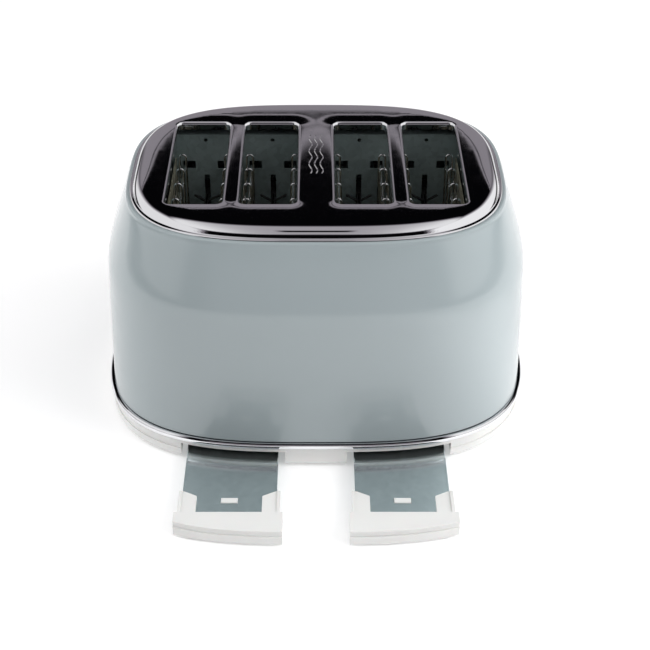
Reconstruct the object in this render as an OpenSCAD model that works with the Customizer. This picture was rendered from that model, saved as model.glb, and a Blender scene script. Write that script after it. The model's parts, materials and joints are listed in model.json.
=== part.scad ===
// Four-slice pop up toaster with two independent slot pairs.
// +Z is up and the origin is the centre of the footprint on the worktop.
// The levers and dials face +Y, and the crumb trays pull out towards -Y.
// Left is -X. At rest the carriages are up and both crumb trays are pulled out.

/* [Body] */
// Half width of the chrome trim ring
ring_half_w = 164.7; // [160:0.1:170]
// Half depth of the chrome trim ring
ring_half_d = 142.4; // [138:0.1:146]
// Height of the top plate's highest point
top_z = 184.6; // [184:0.1:187]
// Thickness of the painted steel shell
shell_t = 0.9; // [0.6:0.1:1.2]

/* [Slots] */
// Distance from the centre line to the middle of a slot pair
pair_x = 62; // [61:0.5:63]
// Distance between the two slots of a pair
slot_pitch = 54; // [53:0.5:55]
// Width of one slot
slot_w = 41.5; // [40:0.5:42]
// Length of one slot
slot_len = 135; // [132:1:137]

/* [Crumb trays] */
// How far the trays are pulled out at rest
tray_out = 89; // [40:1:110]
// Width of the sheet metal tray
tray_w = 68; // [66:0.5:70]

/* [Toasting chamber] */
// Inner face of each end plate, from the centre
chamber_half_len = 72; // [71:0.5:73]
// Height of the bread racks when the carriage is up
rack_z = 120; // [118:1:122]
// Distance from a slot's middle to the inner legs of its guards
guard_x = 15.6; // [15:0.1:16]

/* [Controls] */
// Height of the browning dials
dial_z = 46; // [45:0.5:47]
// Distance from the centre line to the button columns
button_x = 27; // [24:0.5:30]

/* [Hidden] */

LEFT = -1;
RIGHT = 1;
LOW_X = -1; // the guard on a slot's -X side
HIGH_X = 1;

// Exponent of every outline: 2 is an ellipse, and more is squarer
outline_n = 3.1;
outline_points = 96;

// Levels, from the worktop up
foot_h = 3;
floor_z = foot_h;
floor_t = 2;
base_top_z = 17;
trim_top_z = 22.2;
trim_upstand_z = 26.4;
shell_low_z = 22.8;
shell_top_z = 176.6;
flange_z = 177.2;
plate_t = 1.2;

// Body shell: [height, how far the sides have drawn in from the shell's foot]
shell_profile = [
    [shell_low_z, 0], [60, 0.9], [95, 1.8], [110, 2.3], [124, 2.8], [131, 3.7],
    [138, 5.4], [146, 7.9], [154, 10.7], [162, 13.6], [169, 16.3], [174, 18.5],
    [shell_top_z, 19.9]
];
// The front and back draw in by this many times as much
shell_depth_share = 1.38;
shell_half_w = 161.4;
shell_half_d = 140.3;
shell_lip = 7;

// Top plate
plate_half_w = 139.6;
plate_half_d = 111.6;
slot_corner_r = 5;
collar_depth = 7;
collar_t = 1;

// Base moulding
base_inset = 1.8;
base_wall = 2.4;
groove_low_z = 8.6;
groove_high_z = 12.4;
groove_depth = 0.8;
notch_half_w = 39;
notch_top_z = 14;
cord_channel_half_w = 16;
cord_channel_top_z = 14;
bush_y = -50;
cord_r = 3.9;

// Crumb tray, with its places given for the closed tray
tray_t = 0.8;
tray_z = 8;
tray_front_y = 78;
tray_flange_h = 2.2;
handle_back_y = -119.2;
handle_half_w = 38.5;
handle_low_z = 1.8;
handle_top_z = 13.7;
catch_y = -101.2;
wing_len = 26.3;
wing_low_z = 5.7;
wing_in_x = 23.5;
wing_out_x = 36.4;

// Sheet metal of the chamber
plate_sheet_t = 0.8;
end_plate_half_w = 121;
end_plate_low_z = 24;
end_plate_top_z = 171;
louvre_z = 144;
louvre_h = 7;
louvre_in_x = 9;
louvre_out_x = 19.2;
lower_louvre_z = 48;
rack_slot_w = 4.4;
rack_slot_low_z = 50;
rack_slot_top_z = 135;
shield_x = 118.4;
partition_x = 5;

// Heaters
mica_t = 0.8;
mica_half_len = 72;
mica_low_z = 40;
mica_top_z = 150;
mica_x = [10.2, pair_x, 2 * pair_x - 10.2];
ribbon_w = 1.4;
ribbon_t = 0.3;
ribbon_rows = 10;
ribbon_pitch = 10;

// Bread guards
wire_r = 0.8;
rod_r = 1.2;
hook_r = 2.6;
hook_z = 155;
hook_leg = 18;
guard_low_z = 44;
guard_pitch_y = 25;
guard_rows = 6;

// Carriage and racks
rack_half_w = 1.5;
rack_h = 7;
wing_span = 10.6;
carriage_y = 79;
carriage_t = 1.5;
rod_y = 86;
rod_gap = 18;
guide_rod_r = 2;
guide_clearance = 0.3;
lever_z = 138;
arm_half_w = 2;
arm_h = 8;
knob_y = 143;

// Controls on the front
dial_r = 15.5;
dial_face_y = 158;
dial_back_y = 141.5;
board_y = 112;
button_r = 5.2;
button_z = [36, 53, 70];
button_front_y = 144;

function sgn_pow(v, p) = sign(v) * pow(abs(v), p);

// Points of a superellipse of half sizes a and b
function oval(a, b) = [
    for (i = [0 : outline_points - 1])
        let (t = 360 * (i + 0.5) / outline_points)
        [a * sgn_pow(cos(t), 2 / outline_n), b * sgn_pow(sin(t), 2 / outline_n)]
];

// One row of a skin, from a section [half width, half depth, z]
function ring_at(s) = [for (p = oval(s[0], s[1])) [p[0], p[1], s[2]]];

// [half width, half depth, z] of the shell at height z, moved in by inset
function shell_section(z, inset) =
    let (drawn_in = lookup(z, shell_profile))
    [
        shell_half_w - drawn_in - inset,
        shell_half_d - shell_depth_share * drawn_in - inset,
        z
    ];

function shell_heights() = [for (p = shell_profile) p[0]];

function slot_x(i) = sign(i - 1.5) * pair_x + (i % 2 == 0 ? -1 : 1) * slot_pitch / 2;

// Triangles between neighbouring rings, in order
function band_faces(rings, closed) = [
    for (j = [0 : rings - (closed ? 1 : 2)], i = [0 : outline_points - 1])
        let (k = (i + 1) % outline_points, m = (j + 1) % rings)
        each [
            [j * outline_points + i, m * outline_points + i, m * outline_points + k],
            [j * outline_points + i, m * outline_points + k, j * outline_points + k]
        ]
];

// A closed band around the body, from a loop of sections that runs up its outside
module oval_tube(sections) {
    polyhedron(
        points = [for (s = sections) each ring_at(s)],
        faces = band_faces(len(sections), true),
        convexity = 6
    );
}

// A dished sheet, from sections that run down its outside and up its inside
module oval_dish(sections) {
    last = (len(sections) - 1) * outline_points;
    polyhedron(
        points = [for (s = sections) each ring_at(s)],
        faces = concat(
            [[for (i = [outline_points - 1 : -1 : 0]) i]],
            [for (f = band_faces(len(sections), false)) [f[0], f[2], f[1]]],
            [[for (i = [0 : outline_points - 1]) last + i]]
        ),
        convexity = 6
    );
}

// The shell's outline as a solid up to height high_z, grown by gap
module shell_solid(gap, high_z) {
    heights = [for (z = shell_heights()) if (z < high_z) z];
    oval_dish([for (i = [len(heights) - 1 : -1 : 0]) shell_section(heights[i], -gap)]);
}

module oval_slab(a, b, h) {
    linear_extrude(h)
        polygon(oval(a, b));
}

module oval_band(a, b, wall, h) {
    linear_extrude(h)
        difference() {
            polygon(oval(a, b));
            polygon(oval(a - wall, b - wall));
        }
}

// Points of a rectangle with round corners, centred on the origin
function round_rect(w, l, r) = [
    for (c = [[1, 1, 0], [-1, 1, 90], [-1, -1, 180], [1, -1, 270]], a = [0 : 15 : 90])
        [c[0] * (w / 2 - r) + r * cos(c[2] + a), c[1] * (l / 2 - r) + r * sin(c[2] + a)]
];

module slot_prism(w, l, r, low_z, high_z) {
    translate([0, 0, low_z])
        linear_extrude(high_z - low_z)
            polygon(round_rect(w, l, r));
}

module box(x0, x1, y0, y1, z0, z1) {
    translate([x0, y0, z0])
        cube([x1 - x0, y1 - y0, z1 - z0]);
}

module rod_x(x0, x1, r) {
    translate([x0, 0, 0])
        rotate([0, 90, 0])
            cylinder(r = r, h = x1 - x0, $fn = 24);
}

module rod_y(y0, y1, r) {
    translate([0, y1, 0])
        rotate([90, 0, 0])
            cylinder(r = r, h = y1 - y0, $fn = 32);
}

// ---- Casing ----

module body_shell() {
    heights = shell_heights();
    outside = [for (z = heights) shell_section(z, 0)];
    inside = [for (i = [len(heights) - 1 : -1 : 0]) shell_section(heights[i], shell_t)];
    lip = [
        shell_section(shell_top_z, shell_lip),
        shell_section(shell_top_z, shell_lip) - [0, 0, shell_t]
    ];
    inner_top = [inside[0] - [0, 0, shell_t]];
    color("#a3adaf")
    difference() {
        oval_tube(concat(
            outside, lip, inner_top, [for (i = [1 : len(inside) - 1]) inside[i]]
        ));
        for (side = [LEFT, RIGHT]) {
            box(side * pair_x - 3.4, side * pair_x + 3.4, 90, 160, 73, 145.5);
            translate([side * pair_x, 0, dial_z])
                rod_y(100, 160, 17);
            for (z = button_z)
                translate([side * button_x, 0, z])
                    rod_y(100, 160, 6.9);
        }
    }
}

module top_plate() {
    // [inset from the flange's edge, height], down the rolled edge
    roll = [
        [19, top_z], [14, top_z - 0.45], [9.5, top_z - 1.3], [6, top_z - 2.5],
        [3.8, top_z - 4.1], [2.6, top_z - 6.0], [1.4, top_z - 6.4], [0, top_z - 6.6],
        [0, flange_z]
    ];
    under = [
        [1.6, flange_z], [1.6, shell_top_z], [3.4, shell_top_z], [4.6, top_z - 5.2],
        [7, top_z - 3.7], [10, top_z - 2.6], [14, top_z - 1.7], [19, top_z - plate_t]
    ];
    color("#c9cbd0")
    union() {
        difference() {
            oval_dish([
                for (p = concat(roll, under))
                    [plate_half_w - p[0], plate_half_d - p[0], p[1]]
            ]);
            for (i = [0 : 3])
                translate([slot_x(i), 0, 0])
                    slot_prism(slot_w, slot_len, slot_corner_r, 150, 200);
        }
        for (i = [0 : 3])
            translate([slot_x(i), 0, 0])
                slot_collar();
    }
}

// The turned-down edge of one slot
module slot_collar() {
    difference() {
        slot_prism(
            slot_w + 2 * collar_t, slot_len + 2 * collar_t, slot_corner_r + collar_t,
            top_z - collar_depth, top_z - plate_t
        );
        slot_prism(slot_w, slot_len, slot_corner_r, 150, 200);
    }
}

module trim_ring() {
    // [inset, height] around the ring's section: outside up, then inside down
    section = [
        [1.2, base_top_z], [0.3, base_top_z + 0.7], [0, base_top_z + 1.8],
        [0, trim_top_z - 1.9], [0.5, trim_top_z - 0.8], [1.6, trim_top_z - 0.1],
        [4.8, trim_top_z], [4.8, trim_upstand_z], [6, trim_upstand_z],
        [6, trim_top_z - 1.4], [8.2, trim_top_z - 1.4], [8.2, base_top_z]
    ];
    color("#d7dade")
        oval_tube([
            for (p = section) [ring_half_w - p[0], ring_half_d - p[0], p[1]]
        ]);
}

module base_moulding() {
    a = ring_half_w - base_inset;
    b = ring_half_d - base_inset;
    color("#efefeb")
    difference() {
        union() {
            translate([0, 0, floor_z])
                oval_band(a, b, base_wall, groove_low_z - floor_z);
            translate([0, 0, groove_low_z])
                oval_band(
                    a - groove_depth, b - groove_depth,
                    base_wall - groove_depth, groove_high_z - groove_low_z
                );
            translate([0, 0, groove_high_z])
                oval_band(a, b, base_wall, base_top_z - groove_high_z);
            translate([0, 0, floor_z])
                oval_slab(a - 1, b - 1, floor_t);
            box(
                -cord_channel_half_w - 2, cord_channel_half_w + 2, -84, b - 3,
                floor_z, cord_channel_top_z + 2
            );
            for (side = [LEFT, RIGHT]) {
                translate([side * pair_x, 0, 0])
                    tray_rails();
                // post that the control board is fixed to
                box(side * 74 - 6, side * 74 + 6, board_y - 4, board_y, floor_z, 44);
            }
        }
        // shallow panel between the two trays
        box(-23, 23, -150, -b + 0.9, 0, groove_low_z);
        // cord channel under the base, open towards the front
        box(-cord_channel_half_w, cord_channel_half_w, -82, b - 5, 0, cord_channel_top_z);
        box(-6, 6, 100, 150, 0, cord_channel_top_z - 2);
        translate([0, bush_y, 0])
            cylinder(r = 7, h = 30, $fn = 48);
        for (side = [LEFT, RIGHT])
            translate([side * pair_x, 0, 0]) {
                box(-notch_half_w, notch_half_w, -150, handle_back_y + 4, 0, notch_top_z);
                tray_vents();
            }
        for (p = screw_places())
            translate([p[0], p[1], 0])
                cylinder(r = 2.2, h = 20, $fn = 32);
    }
}

// The two rails that one crumb tray slides on
module tray_rails() {
    for (s = [-1, 1]) {
        edge = s * (tray_w / 2 + 1);
        box(min(edge, edge + s * 1.6), max(edge, edge + s * 1.6), -84, 84, floor_z, 13);
        lip = s * (tray_w / 2 - 2);
        box(min(edge, lip), max(edge, lip), -84, 84, floor_z, tray_z - 0.3);
    }
}

// Cooling slots in the floor under one crumb tray
module tray_vents() {
    for (row = [0 : 6])
        translate([0, -42 + 14 * row, 0])
            slot_prism(44, 5, 2.4, 0, floor_z + floor_t + 1);
}

function screw_places() = [for (sx = [-1, 1], sy = [-1, 1]) [sx * 109, sy * 78]];

function foot_places() = [for (sx = [-1, 1], sy = [-1, 1]) [sx * 112, sy * 96]];

module rubber_feet() {
    color("#3a3a3c")
        for (p = foot_places())
            translate([p[0], p[1], 0])
                difference() {
                    cylinder(r = 9, h = foot_h, $fn = 48);
                    translate([0, 0, -1])
                        cylinder(r = 3, h = 2.6, $fn = 32);
                }
}

module base_screws() {
    color("#b8bcc0")
        for (p = screw_places())
            translate([p[0], p[1], floor_z - 1.6])
                union() {
                    cylinder(r = 3.6, h = 1.6, $fn = 32);
                    cylinder(r = 1.8, h = 9, $fn = 32);
                }
}

module cord_bush() {
    color("#e4e4e0")
        translate([0, bush_y, 0])
            rotate_extrude($fn = 64)
                polygon([
                    [cord_r, 11], [9.5, 11], [9.5, 13.9], [6.9, 13.9],
                    [6.9, 16.1], [9, 16.1], [9, 19], [cord_r, 19]
                ]);
}

// ---- Crumb trays ----

module at_tray(side) {
    translate([side * pair_x, -tray_out, 0])
        children();
}

module crumb_tray(side) {
    half = tray_w / 2;
    color("#8fa0a3")
    at_tray(side)
        difference() {
            union() {
                box(-half, half, handle_back_y - 1, tray_front_y, tray_z, tray_z + tray_t);
                for (s = [-1, 1])
                    box(
                        s < 0 ? -half : half - tray_t, s < 0 ? -half + tray_t : half,
                        handle_back_y + wing_len + 1, tray_front_y,
                        tray_z, tray_z + tray_flange_h
                    );
                box(
                    -half, half, tray_front_y - tray_t, tray_front_y,
                    tray_z, tray_z + tray_flange_h
                );
            }
            translate([0, catch_y, 0])
                box(-6.3, 6.3, -3, 3, tray_z - 1, tray_z + 3);
        }
}

// The handle's front follows the base's outline, groove and all
module tray_handle(side) {
    a = ring_half_w - base_inset;
    b = ring_half_d - base_inset;
    color("#f3f3f0")
    at_tray(side)
        difference() {
            union() {
                handle_slab(side, a, b, 0, handle_low_z, groove_low_z);
                handle_slab(side, a, b, groove_depth, groove_low_z, groove_high_z);
                handle_slab(side, a, b, 0, groove_high_z, handle_top_z);
                for (s = [-1, 1])
                    handle_wing(s);
                // tongue under the sheet
                box(-14, 14, handle_back_y - 1, catch_y + 6, tray_z - 2, tray_z);
            }
            // slit that the sheet's end is held in
            box(
                -tray_w / 2, tray_w / 2, handle_back_y - 1, handle_back_y + 40,
                tray_z, tray_z + tray_t
            );
            translate([0, 0, -1])
                box(-30, 30, -132, handle_back_y - 6, 0, tray_z - 2.5);
        }
    // catch on the tongue, standing in the sheet's window
    color("#f3f3f0")
    at_tray(side)
        translate([0, catch_y, 0])
            box(-5.9, 5.9, -2.6, 2.6, tray_z - 1, tray_z + 1.2);
}

module handle_slab(side, a, b, inset, low_z, high_z) {
    intersection() {
        translate([-side * pair_x, 0, low_z])
            oval_slab(a - inset, b - inset, high_z - low_z);
        box(-handle_half_w, handle_half_w, -160, handle_back_y, low_z, high_z);
    }
}

// One side arm of the handle, lying on the sheet's edge
module handle_wing(s) {
    top = tray_z + tray_t + 1.7;
    scale([s, 1, 1]) {
        translate([0, 0, tray_z + tray_t])
            linear_extrude(top - tray_z - tray_t)
                polygon([
                    [wing_in_x, handle_back_y - 1], [wing_out_x, handle_back_y - 1],
                    [wing_out_x, handle_back_y + wing_len],
                    [wing_in_x + 9, handle_back_y + wing_len],
                    [wing_in_x, handle_back_y + wing_len - 5]
                ]);
        box(
            tray_w / 2 + 0.2, wing_out_x, handle_back_y - 1, handle_back_y + wing_len,
            wing_low_z, top + 0.9
        );
    }
}

// ---- Toasting chamber ----

// One end plate, standing at y. The front one also has the racks' slots.
module end_plate(y, with_rack_slots) {
    outward = sign(y);
    low_y = outward > 0 ? y : y - plate_sheet_t;
    flange_y = outward > 0 ? y : y - 8;
    foot_y = outward > 0 ? y : y - 12;
    difference() {
        union() {
            for (s = [-1, 1]) {
                box(
                    s * 109 - 7, s * 109 + 7, low_y, low_y + plate_sheet_t,
                    floor_z + floor_t, end_plate_low_z + 1
                );
                box(
                    s * 109 - 7, s * 109 + 7, foot_y, foot_y + 12,
                    floor_z + floor_t, floor_z + floor_t + plate_sheet_t
                );
                if (with_rack_slots)
                    box(
                        s * pair_x - 15, s * pair_x + 15, y, rod_y + 5,
                        end_plate_top_z - plate_sheet_t, end_plate_top_z
                    );
            }
            box(
                -14, 14, low_y, low_y + plate_sheet_t,
                cord_channel_top_z + 2, end_plate_low_z + 1
            );
            box(
                -end_plate_half_w, end_plate_half_w, low_y, low_y + plate_sheet_t,
                end_plate_low_z, end_plate_top_z
            );
            box(
                -end_plate_half_w, end_plate_half_w, flange_y, flange_y + 8,
                end_plate_top_z - plate_sheet_t, end_plate_top_z
            );
            box(
                -end_plate_half_w, end_plate_half_w, flange_y, flange_y + 8,
                end_plate_low_z, end_plate_low_z + plate_sheet_t
            );
        }
        for (p = screw_places())
            translate([p[0], p[1], 0])
                cylinder(r = 2.2, h = 20, $fn = 32);
        for (i = [0 : 3])
            translate([slot_x(i), y, 0]) {
                for (s = [-1, 1])
                    louvres(s);
                translate([0, 0, 166])
                    rod_y(-3, 3, 1.6);
                if (with_rack_slots)
                    box(
                        -rack_slot_w / 2, rack_slot_w / 2, -3, 3,
                        rack_slot_low_z, rack_slot_top_z
                    );
            }
    }
}

// The slots that one guard's rods slide in
module louvres(s) {
    x0 = min(s * louvre_in_x, s * louvre_out_x);
    for (z = [lower_louvre_z, louvre_z])
        box(
            x0, x0 + louvre_out_x - louvre_in_x, -3, 3,
            z - louvre_h / 2, z + louvre_h / 2
        );
}

module end_plate_front() {
    color("#8c9799")
        end_plate(chamber_half_len, true);
}

module end_plate_rear() {
    color("#8c9799")
        end_plate(-chamber_half_len, false);
}

module heat_shield(side) {
    x = side * shield_x;
    color("#9aa3a5")
        box(
            x - plate_sheet_t / 2, x + plate_sheet_t / 2,
            -chamber_half_len, chamber_half_len, end_plate_low_z + 4, end_plate_top_z - 1
        );
}

module centre_partition() {
    y = chamber_half_len;
    color("#9aa3a5")
        union() {
            for (s = [-1, 1])
                box(
                    s * partition_x - plate_sheet_t / 2,
                    s * partition_x + plate_sheet_t / 2, -y, y, 28, 168
                );
            box(-partition_x, partition_x, -y, y, 168 - plate_sheet_t, 168);
        }
}

function board_x(i) = (i < 3 ? -1 : 1) * mica_x[i < 3 ? 2 - i : i - 3];

module mica_board(i) {
    x = board_x(i);
    color("#b9ac8c")
        box(
            x - mica_t / 2, x + mica_t / 2, -mica_half_len, mica_half_len,
            mica_low_z, mica_top_z
        );
}

// The flat wire on one side's three boards: the middle board is wound on both faces
module heater_ribbons(side) {
    color("#6d6a66")
        for (k = [0 : 2], row = [0 : ribbon_rows - 1], face = [-1, 1])
            if (k == 1 || face == (k == 0 ? side : -side))
                translate([
                    side * mica_x[k] + face * (mica_t + ribbon_t) / 2, 0,
                    mica_low_z + 10 + ribbon_pitch * row
                ])
                    cube([ribbon_t, 2 * mica_half_len - 12, ribbon_w], center = true);
}

// ---- Bread guards ----

// A wire grille at one side of slot i, with its wires hooked over at the top
module bread_guard(i, s) {
    color("#b4b7b9")
    translate([slot_x(i), 0, 0])
        scale([s, 1, 1])
            union() {
                for (k = [0 : guard_rows - 1])
                    translate([0, (k - (guard_rows - 1) / 2) * guard_pitch_y, 0])
                        guard_wire();
                for (z = [lower_louvre_z, louvre_z])
                    translate([guard_x + 1.5, 0, z])
                        rod_y(-chamber_half_len - 3, chamber_half_len + 3, rod_r);
                for (z = [80, 112])
                    translate([guard_x + 1, 0, z])
                        rod_y(-chamber_half_len + 6, chamber_half_len - 6, wire_r);
            }
}

module guard_wire() {
    translate([guard_x, 0, guard_low_z])
        cylinder(r = wire_r, h = hook_z - guard_low_z, $fn = 24);
    translate([guard_x + 2 * hook_r, 0, hook_z - hook_leg])
        cylinder(r = wire_r, h = hook_leg, $fn = 24);
    translate([guard_x + hook_r, 0, hook_z])
        rotate([90, 0, 0])
            rotate_extrude(angle = 180, $fn = 48)
                translate([hook_r, 0])
                    circle(r = wire_r, $fn = 24);
}

// ---- Carriages, racks and levers ----

module bread_rack(i) {
    color("#7b8082")
    translate([slot_x(i), 0, 0])
        union() {
            difference() {
                box(-rack_half_w, rack_half_w, -66, carriage_y, rack_z - rack_h, rack_z);
                box(
                    -rack_half_w + 0.8, rack_half_w - 0.8, -70, 68,
                    rack_z - rack_h + 0.8, rack_z + 1
                );
            }
            for (y = [-56, -18, 20, 56], s = [-1, 1])
                rack_wing(y, s);
        }
}

// A support finger that leaves the rack at y and slopes towards the front
module rack_wing(y, s) {
    translate([0, y, rack_z - 1])
        linear_extrude(1)
            polygon([
                [s * (rack_half_w - 0.4), -1.6], [s * (rack_half_w - 0.4), 1.6],
                [s * wing_span, wing_span + 0.6], [s * wing_span, wing_span - 2.6]
            ]);
}

module carriage(side) {
    color("#9da3a6")
    translate([side * pair_x, 0, 0])
        difference() {
            union() {
                box(-34, 34, carriage_y, carriage_y + carriage_t, rack_z - 10, rack_z + 6);
                box(
                    -rod_gap / 2 - 5, rod_gap / 2 + 5, carriage_y, rod_y + 5,
                    rack_z - 10, lever_z + arm_h / 2
                );
                box(
                    -arm_half_w, arm_half_w, rod_y + 4, knob_y,
                    lever_z - arm_h / 2, lever_z + arm_h / 2
                );
                // armature that the latch magnet holds
                box(-6, 6, rod_y + 4, rod_y + 14, rack_z - 10, rack_z - 8);
            }
            for (s = [-1, 1])
                translate([s * rod_gap / 2, rod_y, 0])
                    cylinder(r = guide_rod_r + guide_clearance, h = 200, $fn = 48);
            // pocket that the return spring stands in
            translate([0, rod_y, lever_z - 6])
                cylinder(r = 4, h = 20, $fn = 48);
        }
}

module lever_knob(side) {
    color("#d9dbe0")
    translate([side * pair_x, 0, lever_z])
        difference() {
            union() {
                rotate([0, 90, 0])
                    translate([0, knob_y + 12, 0])
                        cylinder(r = 7, h = 34, center = true, $fn = 64);
                box(-17, 17, knob_y - 0.5, knob_y + 10, -3.5, 3.5);
            }
            box(-2.1, 2.1, knob_y - 2, knob_y, -4.1, 4.1);
        }
}

module guide_rods(side) {
    color("#c2c6c9")
        for (s = [-1, 1])
            translate([side * pair_x + s * rod_gap / 2, rod_y, floor_z + floor_t])
                cylinder(
                    r = guide_rod_r, $fn = 48,
                    h = end_plate_top_z - plate_sheet_t - floor_z - floor_t
                );
}

// Extension spring above the carriage, drawn as its closed coil tube
module return_spring(side) {
    low = lever_z - 6;
    color("#a9adb0")
        translate([side * pair_x, rod_y, 0])
            rotate_extrude($fn = 48)
                polygon(spring_outline(low, end_plate_top_z - plate_sheet_t));
}

// Ribbed section of a coil tube between two heights
function spring_outline(z0, z1) =
    let (turns = 10, pitch = (z1 - z0) / turns)
    concat(
        [[2, z0]],
        [for (t = [0 : turns - 1]) each [
            [2.8, z0 + pitch * t], [3.5, z0 + pitch * (t + 0.5)]
        ]],
        [[2.8, z1], [2, z1]]
    );

module latch_magnet(side) {
    color("#8a5a3c")
    translate([side * pair_x, rod_y + 10, 0])
        union() {
            // stand, coil former, coil and pole, from the base floor up
            translate([0, 0, floor_z + floor_t])
                cylinder(r = 5, h = 26, $fn = 48);
            translate([0, 0, 29])
                cylinder(r = 9.5, h = 2, $fn = 48);
            translate([0, 0, 31])
                cylinder(r = 8, h = 14, $fn = 48);
            translate([0, 0, 45])
                cylinder(r = 3.5, h = 6.7, $fn = 48);
        }
}

// ---- Controls ----

module control_board() {
    color("#2f6b45")
        difference() {
            union() {
                box(-88, 88, board_y, board_y + 1.6, 30, 74);
                for (side = [LEFT, RIGHT]) {
                    // body of the dial's potentiometer
                    translate([side * pair_x, 0, dial_z])
                        rod_y(board_y + 1, 121, 8);
                    for (z = button_z)
                        translate([side * button_x, 0, z])
                            rod_y(board_y + 1, 119, 3.5);
                    box(side * 44 - 4, side * 44 + 4, board_y + 1, 124, 34, 48);
                }
            }
            for (side = [LEFT, RIGHT])
                translate([side * pair_x, 0, dial_z])
                    rod_y(115, 122, 3.05);
        }
}

module dial(side) {
    color("#d9dbe0")
    translate([side * pair_x, 0, dial_z])
        difference() {
            union() {
                rod_y(dial_back_y, dial_face_y, dial_r);
                rod_y(116, dial_back_y + 1, 3);
            }
            // pointer groove at the top of the face
            box(-0.8, 0.8, dial_face_y - 0.8, dial_face_y + 1, 5, dial_r - 1.5);
        }
}

// A collar whose flange is cut to the shell's curve
module seated_collar(front_y, flange_r, neck_r, bore_r) {
    difference() {
        union() {
            difference() {
                rod_y(125, front_y, flange_r);
                children();
            }
            rod_y(126, front_y - 1, neck_r);
        }
        rod_y(100, 160, bore_r);
    }
}

module dial_bezel(side) {
    color("#c4c7cc")
    translate([side * pair_x, 0, dial_z])
        seated_collar(141, 19, 16.8, 14)
            translate([-side * pair_x, 0, -dial_z])
                shell_solid(0.05, 100);
}

module push_button(side, row) {
    color("#dfe1e4")
    translate([side * button_x, 0, button_z[row]])
        union() {
            rod_y(124, button_front_y, button_r);
            rod_y(121.5, 125, 2.2);
        }
}

module button_bezels() {
    color("#c4c7cc")
        for (side = [LEFT, RIGHT], z = button_z)
            translate([side * button_x, 0, z])
                seated_collar(141.6, 8.4, 6.7, button_r + 0.3)
                    translate([-side * button_x, 0, -z])
                        shell_solid(0.05, 100);
}

// Frames around the lever slots, following the shell's curve
module lever_slot_trims() {
    color("#c4c7cc")
        difference() {
            intersection() {
                shell_solid(1, 160);
                lever_frames(5.2, 71, 147.6);
            }
            difference() {
                shell_solid(0.05, 160);
                lever_frames(3.3, 73.1, 145.4);
            }
            shell_solid(-3, 160);
            lever_frames(2.6, 74, 144.5);
        }
}

module lever_frames(half_w, low_z, high_z) {
    for (side = [LEFT, RIGHT])
        box(
            side * pair_x - half_w, side * pair_x + half_w, 90, 160, low_z, high_z
        );
}

module terminal_block() {
    color("#d9d6c8")
        box(-12, 12, -30, -14, cord_channel_top_z + 2, cord_channel_top_z + 11);
}

body_shell();
top_plate();
trim_ring();
base_moulding();
rubber_feet();
cord_bush();
base_screws();
crumb_tray(LEFT);  // crumb_tray_left
crumb_tray(RIGHT);  // crumb_tray_right
tray_handle(LEFT);  // tray_handle_left
tray_handle(RIGHT);  // tray_handle_right
end_plate_front();
end_plate_rear();
heat_shield(LEFT);  // heat_shield_left
heat_shield(RIGHT);  // heat_shield_right
centre_partition();
mica_board(0);  // mica_board_1
mica_board(1);  // mica_board_2
mica_board(2);  // mica_board_3
mica_board(3);  // mica_board_4
mica_board(4);  // mica_board_5
mica_board(5);  // mica_board_6
heater_ribbons(LEFT);  // heater_ribbons_left
heater_ribbons(RIGHT);  // heater_ribbons_right
bread_guard(0, LOW_X);  // bread_guard_1a
bread_guard(0, HIGH_X);  // bread_guard_1b
bread_guard(1, LOW_X);  // bread_guard_2a
bread_guard(1, HIGH_X);  // bread_guard_2b
bread_guard(2, LOW_X);  // bread_guard_3a
bread_guard(2, HIGH_X);  // bread_guard_3b
bread_guard(3, LOW_X);  // bread_guard_4a
bread_guard(3, HIGH_X);  // bread_guard_4b
carriage(LEFT);  // carriage_left
carriage(RIGHT);  // carriage_right
bread_rack(0);  // bread_rack_1
bread_rack(1);  // bread_rack_2
bread_rack(2);  // bread_rack_3
bread_rack(3);  // bread_rack_4
lever_knob(LEFT);  // lever_knob_left
lever_knob(RIGHT);  // lever_knob_right
return_spring(LEFT);  // return_spring_left
return_spring(RIGHT);  // return_spring_right
guide_rods(LEFT);  // guide_rods_left
guide_rods(RIGHT);  // guide_rods_right
latch_magnet(LEFT);  // latch_magnet_left
latch_magnet(RIGHT);  // latch_magnet_right
control_board();
dial(LEFT);  // dial_left
dial(RIGHT);  // dial_right
dial_bezel(LEFT);  // dial_bezel_left
dial_bezel(RIGHT);  // dial_bezel_right
push_button(LEFT, 2);  // button_cancel_left
push_button(LEFT, 1);  // button_reheat_left
push_button(LEFT, 0);  // button_defrost_left
push_button(RIGHT, 2);  // button_cancel_right
push_button(RIGHT, 1);  // button_reheat_right
push_button(RIGHT, 0);  // button_defrost_right
lever_slot_trims();
button_bezels();
terminal_block();
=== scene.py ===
import json
import math

import bmesh
import bpy
import numpy as np
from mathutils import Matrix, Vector
from mathutils.geometry import delaunay_2d_cdt


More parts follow.
